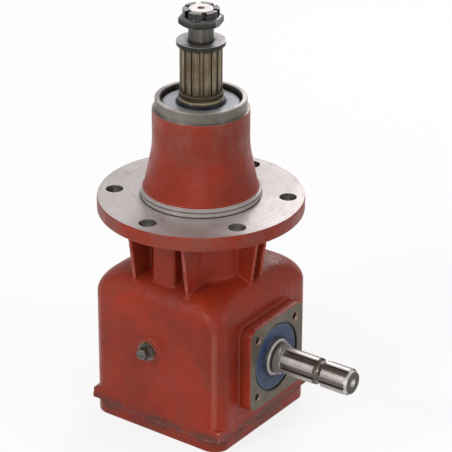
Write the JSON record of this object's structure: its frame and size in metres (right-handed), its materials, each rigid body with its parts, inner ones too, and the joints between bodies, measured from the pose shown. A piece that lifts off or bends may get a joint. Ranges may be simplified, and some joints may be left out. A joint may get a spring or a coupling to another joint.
{
  "type": "right-angle bevel gearbox",
  "caption": "Right-angle bevel gearbox for a rotary cutter: cast box with a splined input shaft, flanged conical neck and a splined output shaft with a castle nut.",
  "frame": {"origin": "on the output shaft's axis, at the outer face of the cover the gearbox stands on", "axes": "+Z along the output shaft towards its nut, +X along the input shaft towards its free end"},
  "size_m": [0.3595, 0.258, 0.5386],
  "materials": {
    "red_paint": "semi-gloss",
    "gasket": "matt",
    "dark_steel": "oiled",
    "zinc_steel": "satin",
    "copper": "satin",
    "blue_seal": "satin",
    "seal_steel": "satin",
    "bright_steel": "polished",
    "bronzed_steel": "satin",
    "gear_steel": "satin",
    "washer_steel": "satin",
    "nut_steel": "oiled",
    "bearing_steel": "polished"
  },
  "bodies": {
    "casing": {"housing": "red_paint", "cover": "red_paint", "cover_gasket": "gasket", "cover_screws": "dark_steel", "level_plug": "dark_steel", "level_plug_washer": "copper", "fill_plug": "dark_steel", "fill_plug_washer": "copper", "rear_cap": "red_paint", "rear_cap_gasket": "gasket", "rear_cap_screws": "zinc_steel", "input_seal": "blue_seal", "output_seal": "seal_steel", "front_ring": "dark_steel", "lower_ring": "dark_steel", "upper_ring": "dark_steel", "front_cup": "bearing_steel", "rear_cup": "bearing_steel", "lower_cup": "bearing_steel", "upper_cup": "bearing_steel"},
    "input": {"input_shaft": "bright_steel", "input_gear": "gear_steel", "front_cone": "bearing_steel", "rear_cone": "bearing_steel"},
    "output": {"output_shaft": "bronzed_steel", "output_pinion": "gear_steel", "pinion_nut": "dark_steel", "lower_cone": "bearing_steel", "upper_cone": "bearing_steel", "end_washer": "washer_steel", "castle_nut": "nut_steel"},
    "front_cage": {"front_rollers": "bearing_steel"},
    "rear_cage": {"rear_rollers": "bearing_steel"},
    "lower_cage": {"lower_rollers": "bearing_steel"},
    "upper_cage": {"upper_rollers": "bearing_steel"}
  },
  "joints": [
    {"name": "input_spin", "type": "hinge", "parent": "casing", "child": "input", "pos_m": [0, 0, 0.1035], "axis": [1, 0, 0], "continuous": true},
    {"name": "output_spin", "type": "hinge", "parent": "casing", "child": "output", "pos_m": [0, 0, 0.3], "axis": [0, 0, 1], "continuous": true},
    {"name": "front_cage_spin", "type": "hinge", "parent": "casing", "child": "front_cage", "pos_m": [0.09, 0, 0.1035], "axis": [1, 0, 0], "continuous": true},
    {"name": "rear_cage_spin", "type": "hinge", "parent": "casing", "child": "rear_cage", "pos_m": [-0.09, 0, 0.1035], "axis": [1, 0, 0], "continuous": true},
    {"name": "lower_cage_spin", "type": "hinge", "parent": "casing", "child": "lower_cage", "pos_m": [0, 0, 0.21], "axis": [0, 0, 1], "continuous": true},
    {"name": "upper_cage_spin", "type": "hinge", "parent": "casing", "child": "upper_cage", "pos_m": [0, 0, 0.39], "axis": [0, 0, 1], "continuous": true}
  ],
  "couplings": [
    {"joint": "output_spin", "follows": "input_spin", "ratio": -1.4667},
    {"joint": "front_cage_spin", "follows": "input_spin", "ratio": 0.428},
    {"joint": "rear_cage_spin", "follows": "input_spin", "ratio": 0.4158},
    {"joint": "lower_cage_spin", "follows": "input_spin", "ratio": -0.6261},
    {"joint": "upper_cage_spin", "follows": "input_spin", "ratio": -0.6261}
  ]
}
